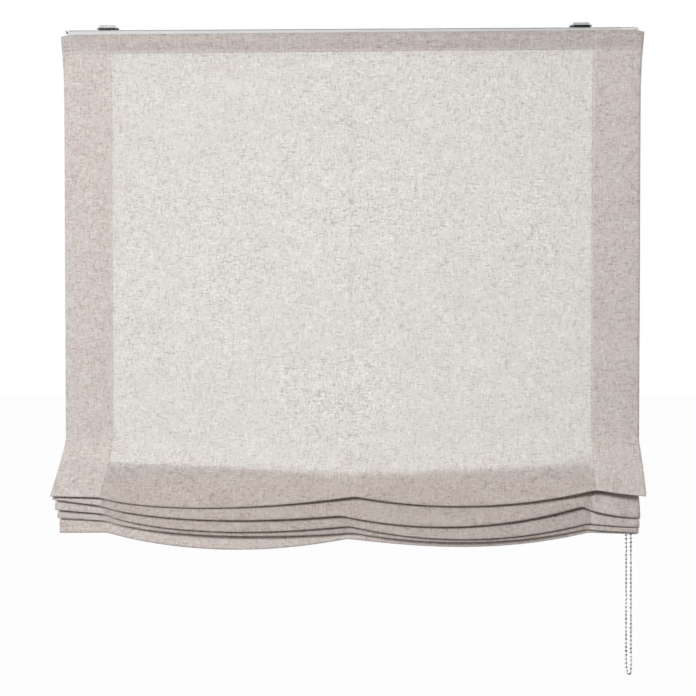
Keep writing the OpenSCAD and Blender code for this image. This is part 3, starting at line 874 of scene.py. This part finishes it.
# finishes of the rigid pieces and cords
coat = {
    "cloud": 9,
    "cloudDetail": 4,
    "grainDetail": 2,
    "roughnessSpread": 0.06,
    "bumpDepth": 0.2 * mm,
    "shine": 0.3,
}
brushed = {
    "detail": 4,
    "colourSpan": (0.25, 0.75),
    "smoother": 0.08,
    "rougher": 0.1,
    "bump": 0.12,
    "bumpDepth": 0.1 * mm,
}
braid = {
    "strand": 2600,
    "shaded": srgb(206, 205, 200),
    "lit": srgb(236, 235, 231),
    "span": (0.0, 0.6),
    "bump": 0.5,
    "bumpDepth": 0.2 * mm,
    "roughness": 0.85,
}


def coatFinish(name, low, high, roughness, grain, bump):
    finish, tree, shader = newFinish(name)
    where, spread = objectPlace(tree), coat["roughnessSpread"]
    cloud = stretchedNoise(tree, where, (coat["cloud"],) * 3, coat["cloudDetail"])
    fine = stretchedNoise(tree, where, (grain,) * 3, coat["grainDetail"])
    setSockets(tree, shader, {
        "Base Color": ramp(tree, cloud, noiseSpan, (low, high)),
        "Roughness": ramp(tree, fine, noiseSpan, (grey(roughness - spread), grey(roughness + spread))),
        "Normal": bumpNormal(tree, fine, bump, coat["bumpDepth"]),
        "Specular IOR Level": coat["shine"],
    })
    return finish


def brushedFinish(name, low, high, roughness, stretch, metallic=1.0):
    finish, tree, shader = newFinish(name)
    lines = stretchedNoise(tree, objectPlace(tree), stretch, brushed["detail"])
    smooth, rough = grey(roughness - brushed["smoother"]), grey(roughness + brushed["rougher"])
    setSockets(tree, shader, {
        "Base Color": ramp(tree, lines, brushed["colourSpan"], (low, high)),
        "Roughness": ramp(tree, lines, noiseSpan, (smooth, rough)),
        "Normal": bumpNormal(tree, lines, brushed["bump"], brushed["bumpDepth"]),
        "Metallic": metallic,
    })
    return finish


def braidFinish():
    finish, tree, shader = newFinish("braidedCord")
    split = addNode(tree, "ShaderNodeSeparateXYZ", {"Vector": objectPlace(tree)})
    sideways = mathNode(tree, "ADD", split.outputs["X"], split.outputs["Y"])
    turn = mathNode(tree, "MULTIPLY", sideways, braid["strand"])
    rise = mathNode(tree, "MULTIPLY", split.outputs["Z"], braid["strand"])
    leftHand = mathNode(tree, "SINE", mathNode(tree, "ADD", rise, turn))
    rightHand = mathNode(tree, "SINE", mathNode(tree, "SUBTRACT", rise, turn))
    crossing = mathNode(tree, "MULTIPLY", leftHand, rightHand)
    setSockets(tree, shader, {
        "Base Color": ramp(tree, crossing, braid["span"], (braid["shaded"], braid["lit"])),
        "Normal": bumpNormal(tree, crossing, braid["bump"], braid["bumpDepth"]),
        "Roughness": braid["roughness"],
    })
    return finish


finishes = {
    "rail_white": coatFinish("powderCoat", srgb(179, 180, 181), srgb(186, 187, 188),
                             roughness=0.6, grain=1400, bump=0.06),
    "plastic_white": coatFinish("whiteNylon", srgb(194, 194, 192), srgb(202, 202, 200),
                                roughness=0.5, grain=2200, bump=0.05),
    "plastic_grey": coatFinish("greyNylon", srgb(176, 176, 175), srgb(187, 187, 186),
                               roughness=0.5, grain=2200, bump=0.05),
    "plastic_dark": coatFinish("darkNylon", srgb(9, 10, 10), srgb(16, 17, 17),
                               roughness=0.55, grain=2200, bump=0.05),
    "bracket_steel": brushedFinish("zincSteel", srgb(152, 155, 156), srgb(170, 173, 174),
                                   roughness=0.6, stretch=(90, 2200, 900), metallic=0.2),
    "shaft_steel": brushedFinish("drawnSteel", srgb(168, 168, 170), srgb(196, 196, 198),
                                 roughness=0.34, stretch=(12, 1800, 1800)),
    "spring_steel": brushedFinish("springSteel", srgb(150, 150, 152), srgb(184, 184, 186),
                                  roughness=0.32, stretch=(600, 600, 600)),
    "chain_nickel": nickel,
    "tape_white": fibreFinish("hookTape", srgb(208, 207, 203), srgb(238, 237, 234), wovenTape),
    "cord_white": braidFinish(),
    "ring_white": coatFinish("clearMoulding", srgb(232, 232, 229), srgb(240, 240, 237),
                             roughness=0.28, grain=1600, bump=0.03),
}


def dressNodes():
    slots = {part["node"]: part["material_slot"] for part in frame["record"]["subparts"]}
    for name, solid in nodes.items():
        if slots[name] in finishes:
            solid.data.materials.clear()
            solid.data.materials.append(finishes[slots[name]])


dressNodes()
print("finishes set on %d solids" % len(nodes))
